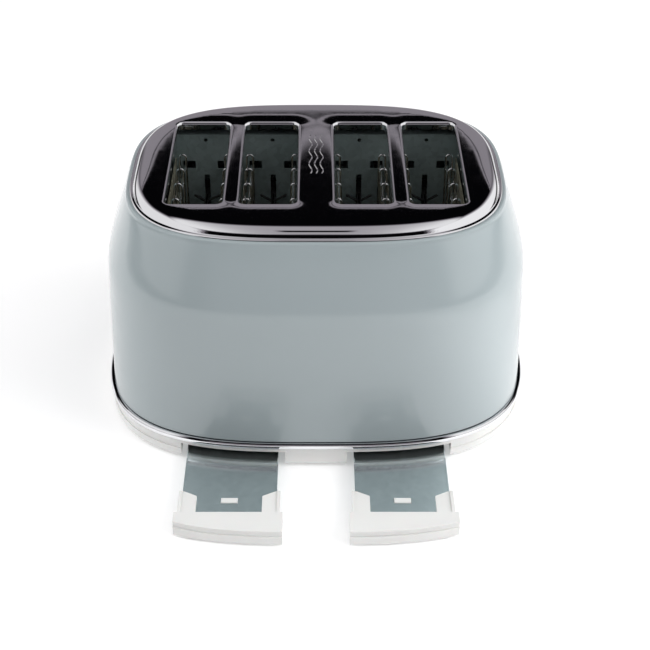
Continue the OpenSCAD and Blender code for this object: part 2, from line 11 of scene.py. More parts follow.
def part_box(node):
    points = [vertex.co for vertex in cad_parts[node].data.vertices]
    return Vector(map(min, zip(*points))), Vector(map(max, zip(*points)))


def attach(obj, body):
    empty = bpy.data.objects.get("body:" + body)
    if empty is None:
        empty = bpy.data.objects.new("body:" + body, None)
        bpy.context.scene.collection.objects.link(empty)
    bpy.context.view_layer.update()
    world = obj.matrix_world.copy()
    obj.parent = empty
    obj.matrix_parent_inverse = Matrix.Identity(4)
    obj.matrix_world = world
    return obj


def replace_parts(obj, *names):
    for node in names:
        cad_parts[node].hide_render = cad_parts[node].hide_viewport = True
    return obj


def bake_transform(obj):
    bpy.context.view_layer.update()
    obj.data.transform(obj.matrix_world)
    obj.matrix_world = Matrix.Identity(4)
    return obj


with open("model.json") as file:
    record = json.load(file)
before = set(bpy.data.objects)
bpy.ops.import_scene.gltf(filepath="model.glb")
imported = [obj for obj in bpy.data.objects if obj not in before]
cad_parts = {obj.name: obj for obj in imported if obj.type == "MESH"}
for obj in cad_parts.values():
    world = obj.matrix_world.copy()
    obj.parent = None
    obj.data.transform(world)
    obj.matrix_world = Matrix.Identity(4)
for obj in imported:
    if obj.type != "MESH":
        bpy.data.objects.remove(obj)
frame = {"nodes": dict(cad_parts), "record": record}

# Lengths below are in millimetres, and MM turns them into Blender's metres.
MM = 0.001
TAU = 2 * math.pi
SIDES = {"left": -1, "right": 1}

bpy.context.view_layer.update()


def mm_box(node):
    """Lowest and highest corner of a CAD node, in millimetres."""
    low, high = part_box(node)
    return low / MM, high / MM


def middle(node):
    """Centre, lowest and highest corner of a CAD node."""
    low, high = mm_box(node)
    return (low + high) / 2, low, high


# ---- Camera, in metres ----

def camera():
    """A long lens on the crumb tray side, looking down on the toaster."""
    elevation = math.radians(33.07)
    distance = 1.2
    target = Vector((0, 0, 0.035))
    back = Vector((0, -math.cos(elevation), math.sin(elevation)))
    data = bpy.data.cameras.new("camera")
    data.sensor_width = 36
    data.lens = 81.64
    data.shift_x = 0.0138
    obj = bpy.data.objects.new("camera", data)
    obj.location = target + back * distance
    obj.rotation_euler = (-back).to_track_quat("-Z", "Y").to_euler()
    bpy.context.scene.collection.objects.link(obj)
    bpy.context.scene.camera = obj


camera()


# ---- Sizes read from the frame ----

RING_LOW, RING_HIGH = mm_box("trim_ring")
SHELL_LOW, SHELL_HIGH = mm_box("body_shell")
PLATE_HIGH = mm_box("top_plate")[1]
RACKS = [mm_box(f"bread_rack_{i}") for i in (1, 2, 3, 4)]
SLOT_X = [(low.x + high.x) / 2 for low, high in RACKS]
PAIR_X = (SLOT_X[2] + SLOT_X[3]) / 2

# ---- Sizes of the finer shapes ----

OUTLINE_N = 3.1          # exponent of every outline: 2 is an ellipse, and more is squarer
# [height, how far the body's sides have drawn in from its foot]
SHELL_PROFILE = [
    [22.8, 0], [60, 0.9], [95, 1.8], [110, 2.3], [124, 2.8], [131, 3.7],
    [138, 5.4], [146, 7.9], [154, 10.7], [162, 13.6], [169, 16.3], [174, 18.5],
    [176.6, 19.9],
]
SHELL_DEPTH_SHARE = 1.38  # the front and back draw in by this many times as much
SHELL_T = 0.9
SHELL_ROLL = 2.2          # radius of the shell's rounded top edge
SLOT_HALF_W = 20.75       # bread slots
SLOT_HALF_L = 67.5
SLOT_R = 5
LEVER_SLOT_HALF_W = 3.4
LEVER_SLOT_Z = (73, 145.5)
DIAL_HOLE_R = 17
BUTTON_HOLE_R = 6.9
CONTROL_WALL_Y = (90, 165)  # the cuts through the shell's control side run between these
OUTLINE_POINTS = 288


# ---- Mesh helpers ----

def ride_new(obj, body, material):
    """Common ending of each piece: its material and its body."""
    obj.data.materials.clear()
    obj.data.materials.append(material)
    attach(obj, body)
    return obj


def add_mesh(name, verts, faces, sharp_deg=35):
    """A new object from millimetre vertices, smooth except across sharp edges."""
    mesh = bpy.data.meshes.new(name)
    mesh.from_pydata([tuple(c * MM for c in v) for v in verts], [], [tuple(f) for f in faces])
    tidy_mesh(mesh)
    smooth(mesh, sharp_deg)
    obj = bpy.data.objects.new(name, mesh)
    bpy.context.scene.collection.objects.link(obj)
    return obj


def tidy_mesh(mesh):
    bm = bmesh.new()
    bm.from_mesh(mesh)
    bmesh.ops.remove_doubles(bm, verts=bm.verts, dist=1e-6)
    bmesh.ops.recalc_face_normals(bm, faces=bm.faces)
    bm.to_mesh(mesh)
    bm.free()
    mesh.update()


def smooth(mesh, sharp_deg):
    mesh.polygons.foreach_set("use_smooth", [True] * len(mesh.polygons))
    mesh.set_sharp_from_angle(angle=math.radians(sharp_deg))


def apply_modifiers(obj, sharp_deg=35):
    """Turns the object's modifiers into mesh."""
    evaluated = obj.evaluated_get(bpy.context.evaluated_depsgraph_get())
    mesh = bpy.data.meshes.new_from_object(evaluated)
    obj.modifiers.clear()
    obj.data = mesh
    smooth(mesh, sharp_deg)
    return obj


def bevel(obj, width, segments=3, angle_deg=35):
    mod = obj.modifiers.new("bevel", "BEVEL")
    mod.width = width * MM
    mod.segments = segments
    mod.limit_method = "ANGLE"
    mod.angle_limit = math.radians(angle_deg)
    mod.harden_normals = False
    return mod


def join(name, objs, sharp_deg=35):
    """One object from several, in the row frame."""
    bm = bmesh.new()
    for obj in objs:
        bm.from_mesh(obj.data)
    mesh = bpy.data.meshes.new(name)
    bm.to_mesh(mesh)
    bm.free()
    for obj in objs:
        bpy.data.objects.remove(obj)
    smooth(mesh, sharp_deg)
    joined = bpy.data.objects.new(name, mesh)
    bpy.context.scene.collection.objects.link(joined)
    return joined


def oval(a, b, count=OUTLINE_POINTS):
    """Evenly spaced points of a superellipse of half sizes a and b."""
    t = np.linspace(0, TAU, 4001)
    c, s = np.cos(t), np.sin(t)
    x = a * np.sign(c) * np.abs(c) ** (2 / OUTLINE_N)
    y = b * np.sign(s) * np.abs(s) ** (2 / OUTLINE_N)
    along = np.concatenate([[0], np.cumsum(np.hypot(np.diff(x), np.diff(y)))])
    at = np.arange(count) * along[-1] / count
    return np.interp(at, along, x), np.interp(at, along, y)


def skin(rows, count, closed=False):
    """Four-sided faces between neighbouring rows of count points, each row a loop."""
    faces = []
    for j in range(rows if closed else rows - 1):
        m = (j + 1) % rows
        for i in range(count):
            k = (i + 1) % count
            faces.append((j * count + i, j * count + k, m * count + k, m * count + i))
    return faces


def end_faces(rows, count):
    """The two faces that close a skin's first and last rows."""
    last = (rows - 1) * count
    return [tuple(reversed(range(count))), tuple(range(last, last + count))]


def loft(sections, closed, count=OUTLINE_POINTS):
    """Vertices and faces of a skin through sections of [a, b, z]."""
    verts = []
    for a, b, z in sections:
        x, y = oval(a, b, count)
        verts += [(px, py, z) for px, py in zip(x, y)]
    return verts, skin(len(sections), count, closed)


def lathe(profile, x, z, count=64, flutes=None):
    """A turned solid along Y. profile is [(y, radius)], and flutes may vary the radius."""
    verts = []
    for y, radius in profile:
        for i in range(count):
            a = TAU * i / count
            r = radius if flutes is None else flutes(y, radius, a)
            verts.append((x + r * math.sin(a), y, z + r * math.cos(a)))
    return verts, skin(len(profile), count) + end_faces(len(profile), count)


def tube(points, radius, sides=10):
    """A round wire along points."""
    verts = []
    pts = [Vector(p) for p in points]
    normal = None
    for i, p in enumerate(pts):
        ahead = pts[min(i + 1, len(pts) - 1)] - pts[max(i - 1, 0)]
        ahead.normalize()
        if normal is None:
            normal = ahead.orthogonal().normalized()
        normal = (normal - ahead * normal.dot(ahead)).normalized()
        side = ahead.cross(normal)
        for k in range(sides):
            a = TAU * k / sides
            verts.append(tuple(p + radius * (math.cos(a) * normal + math.sin(a) * side)))
    return verts, skin(len(pts), sides) + end_faces(len(pts), sides)


def prism(outline, z0, z1):
    """An upright block over an outline given anticlockwise as (x, y)."""
    count = len(outline)
    verts = [(x, y, z0) for x, y in outline] + [(x, y, z1) for x, y in outline]
    faces = [tuple(reversed(range(count))), tuple(range(count, 2 * count))]
    faces += [(i, (i + 1) % count, count + (i + 1) % count, count + i) for i in range(count)]
    return verts, faces


def cuboid(x0, x1, y0, y1, z0, z1):
    return prism([(x0, y0), (x1, y0), (x1, y1), (x0, y1)], z0, z1)


# ---- Materials ----

class Nodes:
    """A material's node tree, with short calls for the nodes that are used here."""

    def __init__(self, name):
        self.material = bpy.data.materials.new(name)
        self.material.use_nodes = True
        self.tree = self.material.node_tree
        self.shader = self.tree.nodes["Principled BSDF"]
        self.coords = self.tree.nodes.new("ShaderNodeTexCoord").outputs["Object"]

    def set(self, **values):
        for key, value in values.items():
            self.shader.inputs[key.replace("_", " ")].default_value = value

    def stretched(self, scale):
        node = self.tree.nodes.new("ShaderNodeMapping")
        node.inputs["Scale"].default_value = scale
        self.tree.links.new(self.coords, node.inputs["Vector"])
        return node.outputs["Vector"]

    def noise(self, scale, detail=3, rough=0.5, vector=None):
        node = self.tree.nodes.new("ShaderNodeTexNoise")
        node.inputs["Scale"].default_value = scale
        node.inputs["Detail"].default_value = detail
        node.inputs["Roughness"].default_value = rough
        self.tree.links.new(vector or self.coords, node.inputs["Vector"])
        return node.outputs["Fac"]

    def cells(self, scale, vector=None, output="Color"):
        node = self.tree.nodes.new("ShaderNodeTexVoronoi")
        node.inputs["Scale"].default_value = scale
        self.tree.links.new(vector or self.coords, node.inputs["Vector"])
        return node.outputs[output]

    def ramp(self, factor, stops):
        """Maps a factor to colours: stops are [(position, colour)]."""
        node = self.tree.nodes.new("ShaderNodeValToRGB")
        elements = node.color_ramp.elements
        while len(elements) < len(stops):
            elements.new(0.5)
        for element, (position, colour) in zip(elements, stops):
            element.position = position
            element.color = (*colour, 1)
        self.tree.links.new(factor, node.inputs["Fac"])
        return node.outputs["Color"]

    def remap(self, factor, low, high, from_low=0.3, from_high=0.7):
        node = self.tree.nodes.new("ShaderNodeMapRange")
        node.inputs["From Min"].default_value = from_low
        node.inputs["From Max"].default_value = from_high
        node.inputs["To Min"].default_value = low
        node.inputs["To Max"].default_value = high
        self.tree.links.new(factor, node.inputs["Value"])
        return node.outputs["Result"]

    def feed(self, socket, source):
        self.tree.links.new(source, self.shader.inputs[socket])

    def bump(self, height, strength, distance):
        node = self.tree.nodes.new("ShaderNodeBump")
        node.inputs["Strength"].default_value = strength
        node.inputs["Distance"].default_value = distance * MM
        self.tree.links.new(height, node.inputs["Height"])
        self.tree.links.new(node.outputs["Normal"], self.shader.inputs["Normal"])


def paint_material():
    """Gloss paint on steel: faint flow-out ripple under a clear coat."""
    m = Nodes("body_paint")
    low, high = (0.288, 0.334, 0.346), (0.299, 0.345, 0.358)
    m.feed("Base Color", m.ramp(m.noise(9, 2), [(0.3, low), (0.7, high)]))
    m.feed("Roughness", m.remap(m.noise(40), 0.30, 0.36))
    m.set(Coat_Weight=0.9, Coat_Roughness=0.03, Coat_IOR=1.5, Specular_IOR_Level=0.35)
    m.bump(m.noise(180, 2), 0.012, 0.2)
    return m.material


def chrome_material(name="bright_chrome", tint=(0.80, 0.80, 0.82), rough=0.035):
    """Polished plating with faint handling marks."""
    m = Nodes(name)
    low = tuple(c * 0.985 for c in tint)
    m.feed("Base Color", m.ramp(m.noise(25, 3), [(0.3, low), (0.7, tint)]))
    m.feed("Roughness", m.remap(m.noise(120, 4, 0.65), rough * 0.8, rough * 1.5))
    m.set(Metallic=1.0)
    return m.material


def plastic_material(name, colour, rough, grain=900, depth=0.02, subsurface=0.0):
    """Moulded plastic with a fine spark-eroded grain."""
    m = Nodes(name)
    low = tuple(c * 0.97 for c in colour)
    m.feed("Base Color", m.ramp(m.noise(30, 3), [(0.3, low), (0.7, colour)]))
    m.feed("Roughness", m.remap(m.noise(grain / 4), rough * 0.9, rough * 1.1))
    if subsurface:
        m.set(Subsurface_Weight=subsurface, Subsurface_Scale=0.002)
    m.bump(m.noise(grain, 2), 0.3, depth)
    return m.material


def galvanised_material(name, colour, metallic, rough, contrast, streak=(1, 0.06, 1)):
    """Zinc-coated sheet: soft spangle cells and rolling streaks."""
    m = Nodes(name)
    spangle = m.cells(260, output="Color")
    low, high = (tuple(c * (1 + sign * contrast) for c in colour) for sign in (-1, 1))
    tone = m.ramp(spangle, [(0.1, low), (0.9, high)])
    m.feed("Base Color", tone)
    m.feed("Roughness", m.remap(m.noise(500, 4, 0.6, m.stretched(streak)), rough * 0.85, rough * 1.2))
    m.set(Metallic=metallic)
    m.bump(m.noise(700, 3, 0.6, m.stretched(streak)), 0.6 * contrast, 0.04)
    return m.material


def steel_material(name, colour, rough, metallic=1.0, streak=(0.1, 1, 1)):
    """Plain pressed or drawn steel with fine draw lines."""
    m = Nodes(name)
    lines = m.noise(900, 3, 0.6, m.stretched(streak))
    m.feed("Base Color", m.ramp(m.noise(60, 3), [(0.3, tuple(c * 0.88 for c in colour)), (0.7, colour)]))
    m.feed("Roughness", m.remap(lines, rough * 0.8, rough * 1.25))
    m.set(Metallic=metallic)
    m.bump(lines, 0.08, 0.03)
    return m.material


def mica_material():
    """Pressed mica board: olive flakes with pale and dark flecks."""
    m = Nodes("mica")
    flakes = m.cells(420, m.stretched((1, 0.5, 1)))
    dark, olive, pale = (0.075, 0.070, 0.045), (0.16, 0.155, 0.105), (0.33, 0.32, 0.25)
    m.feed("Base Color", m.ramp(flakes, [(0.1, dark), (0.6, olive), (0.95, pale)]))
    m.set(Roughness=0.42, Sheen_Weight=0.05)
    m.bump(m.noise(300, 4), 0.25, 0.1)
    return m.material


def rubber_material():
    m = Nodes("black_rubber")
    m.feed("Base Color", m.ramp(m.noise(80), [(0.3, (0.018, 0.018, 0.018)), (0.7, (0.03, 0.03, 0.03))]))
    m.set(Roughness=0.75, Specular_IOR_Level=0.3)
    m.bump(m.noise(1200, 3), 0.3, 0.04)
    return m.material


def board_material():
    """Green circuit board with paler tracks."""
    m = Nodes("circuit_board")
    tracks = m.cells(150, m.stretched((1, 1, 2)), "Distance")
    m.feed("Base Color", m.ramp(tracks, [(0.08, (0.10, 0.30, 0.14)), (0.14, (0.015, 0.10, 0.04))]))
    m.set(Roughness=0.4, Coat_Weight=0.3)
    m.bump(tracks, 0.2, 0.05)
    return m.material


PAINT = paint_material()
CHROME = chrome_material()
WIRE = chrome_material("wire", (0.72, 0.72, 0.72), 0.12)
WHITE = plastic_material("white_plastic", (0.72, 0.72, 0.705), 0.32, subsurface=0.05)
TERMINAL = plastic_material("terminal", (0.70, 0.68, 0.60), 0.5)
RUBBER = rubber_material()
GALVANISED = galvanised_material("galvanised", (0.36, 0.44, 0.44), 0.7, 0.38, 0.10)
TRAY_METAL = galvanised_material("tray_metal", (0.76, 0.84, 0.85), 0.95, 0.17, 0.05)
MICA = mica_material()
RIBBON = steel_material("ribbon", (0.30, 0.27, 0.24), 0.45)
DARK_STEEL = steel_material("dark_steel", (0.055, 0.055, 0.055), 0.42, 0.85)
SPRING_STEEL = steel_material("spring_steel", (0.55, 0.56, 0.57), 0.25)
COPPER = steel_material("copper", (0.60, 0.28, 0.14), 0.3, streak=(1, 1, 0.05))
BOARD = board_material()

BY_SLOT = {
    "body_paint": PAINT, "bright_chrome": CHROME, "white_plastic": WHITE,
    "black_rubber": RUBBER, "galvanised": GALVANISED, "mica": MICA, "ribbon": RIBBON,
    "wire": WIRE, "dark_steel": DARK_STEEL, "spring_steel": SPRING_STEEL,
    "copper": COPPER, "circuit_board": BOARD, "terminal": TERMINAL,
}

OWN_MATERIAL = {"crumb_tray_left": TRAY_METAL, "crumb_tray_right": TRAY_METAL}

# Radius of the softened edges of the CAD nodes whose names start so
EDGE_RADIUS = {
    "tray_handle": 0.7, "lever_knob": 1.8, "carriage": 0.35, "dial_bezel": 0.6,
    "button_bezels": 0.5, "rubber_feet": 0.6, "terminal_block": 0.4, "latch_magnet": 0.4,
    "bread_rack": 0.35, "cord_bush": 0.4,
}


def soften_edges(obj, radius):
    """Rounds a CAD node's sharp edges, once its flat faces are whole again."""
    flat = obj.modifiers.new("flat_faces", "DECIMATE")
    flat.decimate_type = "DISSOLVE"
    flat.angle_limit = math.radians(0.3)
    bevel(obj, radius, 3, 50)
    normals = obj.modifiers.new("normals", "WEIGHTED_NORMAL")
    normals.keep_sharp = True


def dress_cad_nodes():
    """Every CAD node gets its slot's material, and smooth shading between sharp edges."""
    slots = {s["node"]: s["material_slot"] for s in frame["record"]["subparts"]}
    for name, obj in frame["nodes"].items():
        material = OWN_MATERIAL.get(name, BY_SLOT[slots[name]])
        if not obj.material_slots:
            obj.data.materials.append(material)
        for material_slot in obj.material_slots:
            material_slot.material = material
        obj.data.polygons.foreach_set("use_smooth", [True] * len(obj.data.polygons))
        weld = obj.modifiers.new("weld", "WELD")
        weld.merge_threshold = 1e-6
        radii = [r for start, r in EDGE_RADIUS.items() if name.startswith(start)]
        if radii:
            soften_edges(obj, radii[0])
        else:
            split = obj.modifiers.new("edge_split", "EDGE_SPLIT")
            split.split_angle = math.radians(30)


# ---- Body shell ----

def natural_spline(knots):
    """A smooth function through the knots."""
    x, y = np.array(knots, float).T
    h = np.diff(x)
    matrix, right = np.eye(len(x)), np.zeros(len(x))
    for i in range(1, len(x) - 1):
        matrix[i, i - 1:i + 2] = h[i - 1], 2 * (h[i - 1] + h[i]), h[i]
        right[i] = 6 * ((y[i + 1] - y[i]) / h[i] - (y[i] - y[i - 1]) / h[i - 1])
    m = np.linalg.solve(matrix, right)

    def value(at):
        k = min(max(int(np.searchsorted(x, at)) - 1, 0), len(h) - 1)
        left, rest = x[k + 1] - at, at - x[k]
        return (
            (m[k] * left ** 3 + m[k + 1] * rest ** 3) / (6 * h[k])
            + (y[k] / h[k] - m[k] * h[k] / 6) * left
            + (y[k + 1] / h[k] - m[k + 1] * h[k] / 6) * rest
        )

    return value


drawn_in = natural_spline(SHELL_PROFILE)


def shell_section(z, inset=0.0):
    return [
        SHELL_HIGH.x - drawn_in(z) - inset,
        -SHELL_LOW.y - SHELL_DEPTH_SHARE * drawn_in(z) - inset,
        z,
    ]


def body_shell():
    """The painted shell, rolled in at its top edge, with holes for the controls."""
    low, high, roll = SHELL_LOW.z, SHELL_HIGH.z, SHELL_ROLL
    heights = [low + 0.35] + list(np.linspace(low + 3, 110, 18))
    heights += list(np.linspace(110, high - roll, 40))[1:]
    outside = [shell_section(low, 0.3)] + [shell_section(z) for z in heights]
    for step in range(1, 7):
        a = math.pi / 2 * step / 6
        z = high - roll + roll * math.sin(a)
        outside.append(shell_section(high - roll, roll * (1 - math.cos(a)))[:2] + [z])
    a, b, z = outside[-1]
    lip = [[a - d, b - d, z - drop] for d, drop in ((3, 0), (5, 0), (5, 0.9), (2, 0.9))]
    inside = [shell_section(z, SHELL_T) for z in reversed([low] + heights[1::3])]
    shell = add_mesh("painted_body", *loft(outside + lip + inside, True))
    cutters = [add_mesh("cut", *lever_cutter(side)) for side in SIDES.values()]
    for node in ("dial_left", "dial_right"):
        cutters.append(add_mesh("cut", *hole_cutter(node, DIAL_HOLE_R)))
    for node in BUTTONS:
        cutters.append(add_mesh("cut", *hole_cutter(node, BUTTON_HOLE_R)))
    cut(shell, join("cutters", cutters))
    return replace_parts(ride_new(shell, "casing", PAINT), "body_shell")


def cut(obj, cutter):
    mod = obj.modifiers.new("cut", "BOOLEAN")
    mod.operation = "DIFFERENCE"
    mod.solver = "EXACT"
    mod.object = cutter
    apply_modifiers(obj)
    bpy.data.objects.remove(cutter)


def lever_cutter(side):
    x, half = side * PAIR_X, LEVER_SLOT_HALF_W
    return cuboid(x - half, x + half, *CONTROL_WALL_Y, *LEVER_SLOT_Z)


def hole_cutter(node, radius):
    centre = middle(node)[0]
    return lathe([(y, radius) for y in CONTROL_WALL_Y], centre.x, centre.z)


# ---- Top plate ----

RIM_W = RIM_R = 2.2          # width and depth of the rolled slot rims
DISH_W, DISH_R = 18.0, 0.55  # the plate dips gently towards each slot
ROLL_W = 19.0                # width of the rolled outer edge
ROLL_END = 2.6               # where the roll meets the flat flange
COLLAR_DEPTH = 7.0           # reach of the slots' turned-down walls
PLATE_T = 0.7
GRID_STEP = 3.0              # spacing of the free points of the plate's face
FACE_Z = PLATE_HIGH.z - 0.4  # the face, with room above it for the heat marks


def slot_distance(x, y, slot_x):
    dx = np.maximum(np.abs(x - slot_x) - (SLOT_HALF_W - SLOT_R), 0)
    dy = np.maximum(np.abs(y) - (SLOT_HALF_L - SLOT_R), 0)
    return np.hypot(dx, dy) - SLOT_R


def within_plate(x, y, inset):
    wide, deep = PLATE_HIGH.x - inset, PLATE_HIGH.y - inset
    return (np.abs(x) / wide) ** OUTLINE_N + (np.abs(y) / deep) ** OUTLINE_N < 1


def edge_inset(x, y):
    """How far in from the plate's outline a point lies, by bisection."""
    low = np.zeros_like(x)
    high = np.full_like(x, PLATE_HIGH.y - 1)
    for _ in range(40):
        mid = (low + high) / 2
        inside = within_plate(x, y, mid)
        low = np.where(inside, mid, low)
        high = np.where(inside, high, mid)
    return (low + high) / 2


def roll_drop(inset):
    """Fall of the outer edge: slow at first, then steep."""
    u = np.clip((ROLL_W - inset) / (ROLL_W - ROLL_END), 0, 1)
    return 3.6 * u ** 2.4 + 2.4 * u ** 9


def rim_drop(d):
    u = np.clip(1 - d / RIM_W, 0, 1)
    dish = np.clip(1 - d / DISH_W, 0, 1)
    return RIM_R * (1 - np.sqrt(1 - u ** 2)) + DISH_R * dish ** 3


def plate_height(x, y):
    z = FACE_Z - roll_drop(edge_inset(x, y))
    for slot_x in SLOT_X:
        z = z - rim_drop(np.maximum(slot_distance(x, y, slot_x), 0))
    return z


def slot_loop(slot_x, offset):
    """Points of a slot's outline grown by offset, the same number for every offset."""
    w, l, r = SLOT_HALF_W + offset, SLOT_HALF_L + offset, SLOT_R + offset
    corners = [(1, 1, 0), (-1, 1, 90), (-1, -1, 180), (1, -1, 270)]
    arcs = []
    for cx, cy, start in corners:
        turns = [math.radians(start + a) for a in range(0, 91, 10)]
        arcs.append([(cx * (w - r) + r * math.cos(t), cy * (l - r) + r * math.sin(t)) for t in turns])
    points = []
    for here, after in zip(arcs, arcs[1:] + arcs[:1]):
        points += here
        (x0, y0), (x1, y1) = here[-1], after[0]
        steps = 6 if abs(x1 - x0) > abs(y1 - y0) else 26
        points += [(x0 + (x1 - x0) * s / steps, y0 + (y1 - y0) * s / steps) for s in range(1, steps)]
    return [(slot_x + x, y) for x, y in points]


def top_plate():
    """The plate's pressed face, its flange and the slots' collars, as one sheet."""
    rim_offsets = [0.04, 0.12, 0.25, 0.45, 0.7, 1.0, 1.35, 1.8, 2.4, 3.3, 4.5, 6.2]
    roll_insets = [ROLL_END, 2.75, 2.95, 3.2, 3.6, 4.1, 4.8, 5.8, 7.0, 8.5, 10.3, 12.5, 15.0, 18.0]
    points, edges = [], []

    def add_loop(loop, fixed):
        start = len(points)
        points.extend(loop)
        if fixed:
            edges.extend((start + i, start + (i + 1) % len(loop)) for i in range(len(loop)))

    for slot_x in SLOT_X:
        for k, offset in enumerate(rim_offsets):
            add_loop(slot_loop(slot_x, offset), k == 0)
    for k, inset in enumerate(roll_insets):
        x, y = oval(PLATE_HIGH.x - inset, PLATE_HIGH.y - inset)
        near = np.min([slot_distance(x, y, s) for s in SLOT_X], axis=0)
        loop = [(px, py) for px, py, d in zip(x, y, near) if k == 0 or d > rim_offsets[-1] + 0.6]
        add_loop(loop, k == 0)
    gx, gy = np.meshgrid(np.arange(-120, 121, GRID_STEP), np.arange(-99, 100, GRID_STEP))
    gx, gy = gx.ravel(), gy.ravel()
    near = np.min([slot_distance(gx, gy, s) for s in SLOT_X], axis=0)
    free = (near > rim_offsets[-1] + 1.2) & (edge_inset(gx, gy) > roll_insets[-1] + 1.2)
    points.extend(zip(gx[free], gy[free]))
    coords, _, triangles, _, _, _ = delaunay_2d_cdt([Vector(p) for p in points], edges, [], 0, 1e-5)
    xy = np.array([tuple(c) for c in coords])
    kept = []
    for t in triangles:
        cx, cy = xy[t].mean(axis=0)
        in_slot = any(slot_distance(cx, cy, s) < rim_offsets[0] for s in SLOT_X)
        if not in_slot and within_plate(cx, cy, ROLL_END):
            kept.append(tuple(t))
    z = plate_height(xy[:, 0], xy[:, 1])
    verts = [(x, y, h) for (x, y), h in zip(xy, z)]
    objs = [add_mesh("plate_face", verts, kept, 180)]
    objs.append(add_mesh("plate_flange", *plate_flange(), 180))
    objs += [add_mesh("plate_collar", *slot_collar(s), 180) for s in SLOT_X]
    plate = join("chrome_top", objs, 60)
    tidy_mesh(plate.data)
    solid = plate.modifiers.new("thickness", "SOLIDIFY")
    solid.thickness = PLATE_T * MM
    solid.offset = -1
    apply_modifiers(plate, 60)
    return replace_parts(ride_new(plate, "casing", CHROME), "top_plate")


def plate_flange():
    """The narrow flange at the foot of the roll, ending in a rounded lip."""
    foot = FACE_Z - float(roll_drop(np.array(ROLL_END)))
    rows = [(ROLL_END, 0), (2.4, -0.18), (2.2, -0.27), (1.8, -0.38), (1.3, -0.52), (0.8, -0.67),
            (0.4, -0.85), (0.15, -1.08), (0, -1.3), (0.06, -1.42)]
    return loft([[PLATE_HIGH.x - d, PLATE_HIGH.y - d, foot + z] for d, z in rows], False)


def slot_collar(slot_x):
    """The turned-down wall of one slot."""
    rim = slot_loop(slot_x, 0.04)
    wall = slot_loop(slot_x, 0.0)
    top = plate_height(*np.array(rim).T)
    low = PLATE_HIGH.z - COLLAR_DEPTH
    verts = [(x, y, z) for (x, y), z in zip(rim, top)]
    for share in (0.12, 0.5, 1.0):
        verts += [(x, y, z + (low - z) * share) for (x, y), z in zip(wall, top)]
    return verts, skin(4, len(rim))


def heat_marks():
    """Three raised wavy lines on the middle bridge, a plain sign for a hot surface."""
    pitch, swing, wave_length = 4.2, 1.1, 22
    objs = []
    for k in range(3):
        y = np.linspace(-22, 44, 67)
        x = (k - 1) * pitch + swing * np.sin(y * TAU / wave_length)
        z = plate_height(x, y) - 0.1
        objs.append(add_mesh("wave", *tube(list(zip(x, y, z)), 0.45)))
    return ride_new(join("heat_marks", objs), "casing", CHROME)


# ---- Trim ring ----

def trim_ring():
    """The chrome bead round the body's foot, with its upstand inside the shell."""
    low, top = RING_LOW.z, RING_HIGH.z
    bead = top - 4.2
    section = [
        (1.3, low), (0.75, low + 0.25), (0.35, low + 0.8), (0.1, low + 1.5), (0, low + 2.3),
        (0.05, low + 3.0), (0.25, low + 3.7), (0.6, low + 4.3), (1.1, bead - 0.25), (1.7, bead - 0.08),
        (2.4, bead), (4.8, bead), (4.8, top), (6, top), (6, bead - 1.4), (8.2, bead - 1.4), (8.2, low),
    ]
    sections = [[RING_HIGH.x - d, RING_HIGH.y - d, z] for d, z in section]
    ring = add_mesh("chrome_trim", *loft(sections, True))
    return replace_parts(ride_new(ring, "casing", CHROME), "trim_ring")


# ---- Controls ----

BUTTONS = [f"button_{kind}_{side}" for side in SIDES for kind in ("cancel", "reheat", "defrost")]
DIAL_FLUTES = 30
DIAL_BACK_Y = 141.6
BUTTON_BACK_Y = 124


def spoke(centre, y0, y1, inner, outer, width, turn_deg):
    """A thin bar on a round face, pointing out at turn_deg from straight up."""
    verts, faces = cuboid(-width / 2, width / 2, y0, y1, inner, outer)
    a = math.radians(turn_deg)
    c, s = math.cos(a), math.sin(a)
    return [(centre.x + x * c + z * s, y, centre.z - x * s + z * c) for x, y, z in verts], faces


def dial(side):
    """A turned knob with a fluted grip, a dished face and a dark pointer line."""
    centre, low, high = middle(f"dial_{side}")
    radius, face, back = (high.x - low.x) / 2, high.y, DIAL_BACK_Y

    def flutes(y, r, angle):
        if r < radius - 0.6 or not back + 1.5 < y < face - 1.8:
            return r
        return r - 0.45 * (0.5 + 0.5 * math.cos(DIAL_FLUTES * angle)) ** 2

    profile = [
        (low.y, 2.6), (low.y + 0.4, 3), (back - 0.4, 3), (back, 3.4),
        (back, radius - 0.8), (back + 0.3, radius - 0.2), (back + 1.4, radius),
        (back + 1.6, radius), (back + 2.4, radius), (face - 2.8, radius), (face - 1.9, radius),
        (face - 1.7, radius - 0.05), (face - 0.9, radius - 0.5), (face - 0.35, radius - 1.4),
        (face - 0.3, radius - 2.2), (face - 0.7, radius - 3.0), (face - 0.95, radius - 5),
        (face - 1.0, 4), (face - 1.0, 0.01),
    ]
    turned = lathe(profile, centre.x, centre.z, DIAL_FLUTES * 10, flutes)
    knob = add_mesh(f"fluted_dial_{side}", *turned, 30)
    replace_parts(ride_new(knob, f"dial_{side}", CHROME), f"dial_{side}")
    bar = spoke(centre, face - 1.3, face - 0.25, 4.5, radius - 1.2, 1.3, 0)
    line = add_mesh(f"dial_pointer_{side}", *bar)
    ride_new(line, f"dial_{side}", RUBBER)


def dial_scale(side):
    """Seven marks on the bezel, from the lowest browning to the highest."""
    centre, _, high = middle(f"dial_bezel_{side}")
    marks = [
        add_mesh("mark", *spoke(centre, high.y - 0.3, high.y, 16.5, 18.2, 0.7, turn))
        for turn in range(-135, 136, 45)
    ]
    ride_new(join(f"dial_marks_{side}", marks), "casing", RUBBER)


